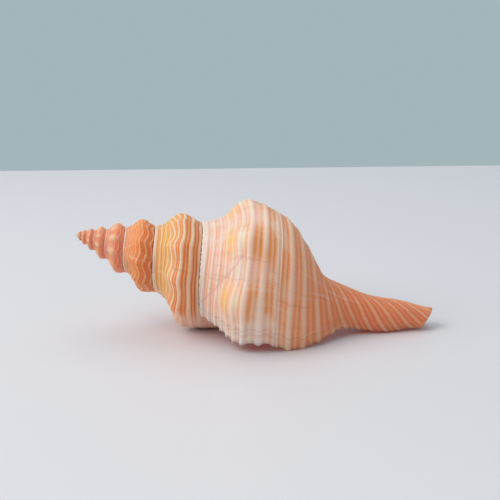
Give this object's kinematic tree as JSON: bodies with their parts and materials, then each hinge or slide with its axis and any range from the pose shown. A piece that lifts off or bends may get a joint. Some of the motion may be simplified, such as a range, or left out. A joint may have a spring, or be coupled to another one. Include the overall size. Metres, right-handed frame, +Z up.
{
  "type": "conch shell",
  "caption": "Tall-spired sea snail shell with shoulder knobs, spiral cords, an open mouth and a long siphonal canal, resting mouth down.",
  "frame": {"origin": "centre of the bounding box's underside, on the table the shell rests on", "axes": "+X along the shell's length, from the apex to the canal's end; +Z up, with the shell at rest on its mouth side; -Y is the side of the outer lip"},
  "size_m": [0.107, 0.0462, 0.0385],
  "materials": {
    "shell": "satin, pale cords on orange"
  },
  "bodies": {
    "root": {"shell": "shell"}
  },
  "joints": []
}
